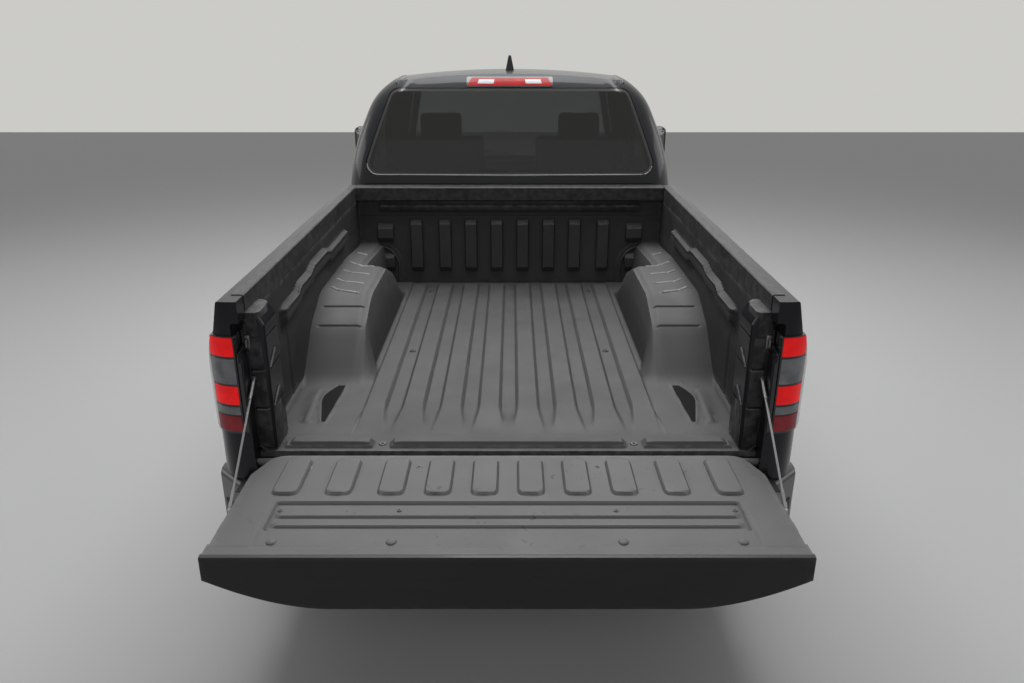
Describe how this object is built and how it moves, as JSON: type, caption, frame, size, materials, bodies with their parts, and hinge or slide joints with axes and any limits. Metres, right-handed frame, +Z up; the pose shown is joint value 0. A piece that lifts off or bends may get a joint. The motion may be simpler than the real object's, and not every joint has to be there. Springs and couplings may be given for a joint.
{
  "type": "pickup truck",
  "caption": "Pickup truck with an extended cab, side doors, a lifting bonnet and a long load bed whose tailgate is lowered on cable stays.",
  "frame": {"origin": "on the ground, at the middle of the truck's box with its tailgate lowered", "axes": "+X to the truck's right, +Y forwards along the truck, +Z up"},
  "size_m": [2.15, 5.7349, 1.9109],
  "materials": {
    "paint": "dark grey metallic paint, glossy",
    "bed_liner": "sprayed charcoal bed liner, fine grain",
    "glass": "dark tinted glass",
    "clear_lamp": "clear lamp lens",
    "red_lamp": "red lamp lens",
    "trim": "black moulded plastic",
    "bumper": "grey satin bumper",
    "seat_cloth": "dark seat cloth",
    "chassis_black": "black chassis paint",
    "bare_metal": "dull steel",
    "alloy": "silver wheel alloy",
    "tyre": "black tyre rubber"
  },
  "bodies": {
    "chassis": {"frame": "chassis_black", "cab_floor": "chassis_black", "cab_side_left": "paint", "cab_side_right": "paint", "cab_roof": "paint", "cab_back": "paint", "windscreen": "glass", "rear_window": "glass", "dashboard": "trim", "seats": "seat_cloth", "front_wings": "paint", "front_bumper": "trim", "grille": "trim", "headlamps": "clear_lamp", "bed_floor": "bed_liner", "bed_side_left": "paint", "bed_side_right": "paint", "bed_bulkhead": "bed_liner", "tail_lamps": "red_lamp", "rear_bumper": "bumper", "stop_lamp": "red_lamp", "antenna": "trim", "wheel_liners": "trim", "engine": "bare_metal", "driveline": "bare_metal", "exhaust": "bare_metal", "fuel_tank": "trim", "spare_wheel": "tyre", "rear_axle": "chassis_black", "leaf_springs": "chassis_black", "front_suspension": "chassis_black", "gate_stays": "bare_metal"},
    "tailgate": {"tailgate": "bed_liner"},
    "bonnet": {"bonnet": "paint"},
    "door_front_left": {"door_front_left": "paint", "glass_front_left": "glass", "mirror_left": "paint"},
    "door_front_right": {"door_front_right": "paint", "glass_front_right": "glass", "mirror_right": "paint"},
    "door_rear_left": {"door_rear_left": "paint", "glass_rear_left": "glass"},
    "door_rear_right": {"door_rear_right": "paint", "glass_rear_right": "glass"},
    "knuckle_left": {"knuckle_left": "chassis_black"},
    "knuckle_right": {"knuckle_right": "chassis_black"},
    "wheel_front_left": {"rim_front_left": "alloy", "tyre_front_left": "tyre"},
    "wheel_front_right": {"rim_front_right": "alloy", "tyre_front_right": "tyre"},
    "wheel_rear_left": {"rim_rear_left": "alloy", "tyre_rear_left": "tyre"},
    "wheel_rear_right": {"rim_rear_right": "alloy", "tyre_rear_right": "tyre"},
    "steering_wheel": {"steering_wheel": "trim"}
  },
  "joints": [
    {"name": "tailgate_hinge", "type": "hinge", "parent": "chassis", "child": "tailgate", "pos_m": [0, -2.342, 0.758], "axis": [-1, 0, 0], "range_deg": [0, 90], "deforming": ["gate_stays"]},
    {"name": "bonnet_hinge", "type": "hinge", "parent": "chassis", "child": "bonnet", "pos_m": [0, 1.4765, 1.1215], "axis": [1, 0, 0], "range_deg": [0, 50]},
    {"name": "door_front_left_hinge", "type": "hinge", "parent": "chassis", "child": "door_front_left", "pos_m": [-0.9023, 1.3685, 0.8], "axis": [0, 0, -1], "range_deg": [0, 65]},
    {"name": "door_rear_left_hinge", "type": "hinge", "parent": "chassis", "child": "door_rear_left", "pos_m": [-0.9023, -0.1345, 0.8], "axis": [0, 0, 1], "range_deg": [0, 90]},
    {"name": "door_front_right_hinge", "type": "hinge", "parent": "chassis", "child": "door_front_right", "pos_m": [0.9023, 1.3685, 0.8], "axis": [0, 0, 1], "range_deg": [0, 65]},
    {"name": "door_rear_right_hinge", "type": "hinge", "parent": "chassis", "child": "door_rear_right", "pos_m": [0.9023, -0.1345, 0.8], "axis": [0, 0, -1], "range_deg": [0, 90]},
    {"name": "steer_left", "type": "hinge", "parent": "chassis", "child": "knuckle_left", "pos_m": [-0.695, 1.987, 0.388], "axis": [0, 0, 1], "range_deg": [-30, 30]},
    {"name": "steer_right", "type": "hinge", "parent": "chassis", "child": "knuckle_right", "pos_m": [0.695, 1.987, 0.388], "axis": [0, 0, 1], "range_deg": [-30, 30]},
    {"name": "spin_front_left", "type": "hinge", "parent": "knuckle_left", "child": "wheel_front_left", "pos_m": [-0.785, 1.987, 0.388], "axis": [1, 0, 0], "continuous": true},
    {"name": "spin_rear_left", "type": "hinge", "parent": "chassis", "child": "wheel_rear_left", "pos_m": [-0.785, -1.213, 0.388], "axis": [1, 0, 0], "continuous": true},
    {"name": "spin_front_right", "type": "hinge", "parent": "knuckle_right", "child": "wheel_front_right", "pos_m": [0.785, 1.987, 0.388], "axis": [1, 0, 0], "continuous": true},
    {"name": "spin_rear_right", "type": "hinge", "parent": "chassis", "child": "wheel_rear_right", "pos_m": [0.785, -1.213, 0.388], "axis": [1, 0, 0], "continuous": true},
    {"name": "steering_wheel_turn", "type": "hinge", "parent": "chassis", "child": "steering_wheel", "pos_m": [-0.388, 0.887, 1.085], "axis": [0, 0.9135, -0.4067], "range_deg": [-450, 450]}
  ],
  "couplings": [
    {"joint": "steer_right", "follows": "steer_left", "ratio": 1},
    {"joint": "steering_wheel_turn", "follows": "steer_left", "ratio": -15}
  ]
}
